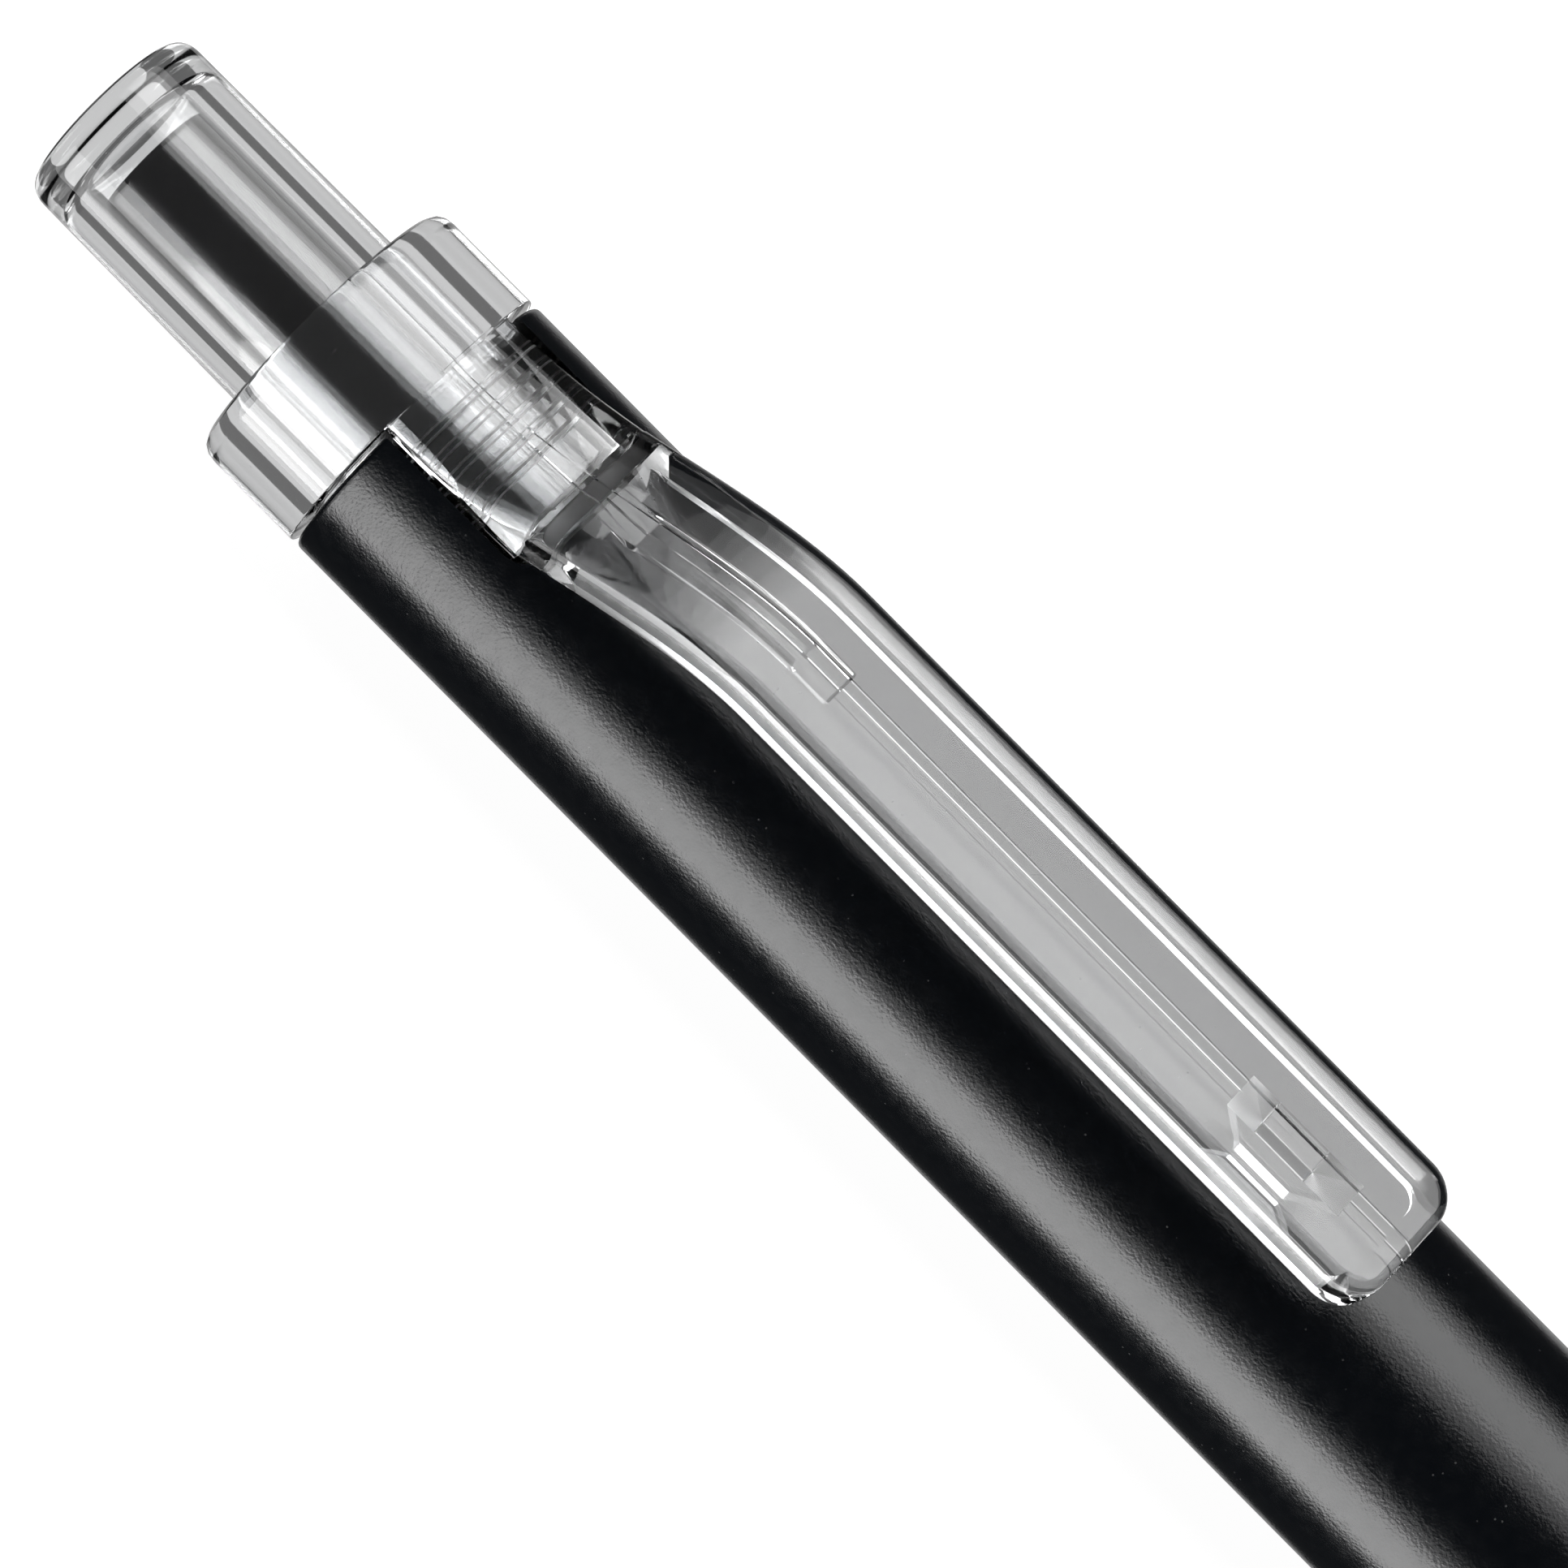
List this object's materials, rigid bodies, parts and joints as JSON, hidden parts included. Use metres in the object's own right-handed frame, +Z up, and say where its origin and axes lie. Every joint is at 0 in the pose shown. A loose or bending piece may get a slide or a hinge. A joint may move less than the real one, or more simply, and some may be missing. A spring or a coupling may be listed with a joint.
{
  "type": "counterfeit detector pen",
  "caption": "Retractable banknote test pen: matte black barrel, clear collar and wide moulded clip, clear push button with a dark stem, spring-loaded ink refill.",
  "frame": {"origin": "on the table under the middle of the pen's length and width, where the barrel's lowest facet rests", "axes": "+X along the pen from the push button to the tip, +Z up, on the clip's side, +Y across the pen"},
  "size_m": [0.1412, 0.0108, 0.0146],
  "materials": {
    "barrel_black": "fine-grained matte black moulded plastic",
    "clear_plastic": "polished clear moulded plastic",
    "gloss_black": "smooth dark plastic",
    "cam_white": "natural white moulded plastic",
    "refill_tube": "translucent white extruded plastic",
    "test_ink": "fibre rod soaked in amber iodine ink",
    "nib_fibre": "pressed fibre with a bullet point",
    "seal_rubber": "soft black rubber",
    "spring_steel": "drawn spring wire"
  },
  "bodies": {
    "pen_body": {"barrel": "barrel_black", "clip_collar": "clear_plastic", "cam_sleeve": "cam_white", "spring": "spring_steel"},
    "clip": {"clip_arm": "clear_plastic"},
    "button": {"push_button": "clear_plastic"},
    "refill": {"refill_plug": "gloss_black", "refill_tube": "refill_tube", "ink_filler": "test_ink", "nib_holder": "gloss_black", "nib": "nib_fibre"},
    "rotor": {"cam_rotor": "gloss_black"},
    "nose_ring": {"nose_seal": "seal_rubber"},
    "nose": {"nose_cone": "barrel_black"}
  },
  "joints": [
    {"name": "button_press", "type": "slide", "parent": "pen_body", "child": "button", "axis": [1, 0, 0], "range_m": [0, 0.006], "stiffness_N_per_m": 400, "springref_m": -0.0025},
    {"name": "refill_slide", "type": "slide", "parent": "pen_body", "child": "refill", "axis": [1, 0, 0], "range_m": [0, 0.006], "deforming": ["spring"]},
    {"name": "rotor_turn", "type": "hinge", "parent": "refill", "child": "rotor", "pos_m": [-0.04637, 0, 0.00539], "axis": [1, 0, 0], "range_deg": [0, 45]},
    {"name": "clip_flex", "type": "hinge", "parent": "pen_body", "child": "clip", "pos_m": [-0.05087, 0, 0.01079], "axis": [0, -1, 0], "range_deg": [0, 4], "stiffness_Nm_per_rad": 3},
    {"name": "nose_slide", "type": "slide", "parent": "pen_body", "child": "nose_ring", "axis": [1, 0, 0], "range_m": [0, 0.005]},
    {"name": "nose_turn", "type": "hinge", "parent": "nose_ring", "child": "nose", "pos_m": [0.04782, 0, 0.00539], "axis": [1, 0, 0], "range_deg": [0, 1440]}
  ],
  "couplings": [
    {"joint": "refill_slide", "follows": "button_press", "ratio": 1},
    {"joint": "rotor_turn", "follows": "button_press", "rad_per_m": 130.89},
    {"joint": "nose_turn", "follows": "nose_slide", "rad_per_m": 5026.5}
  ]
}
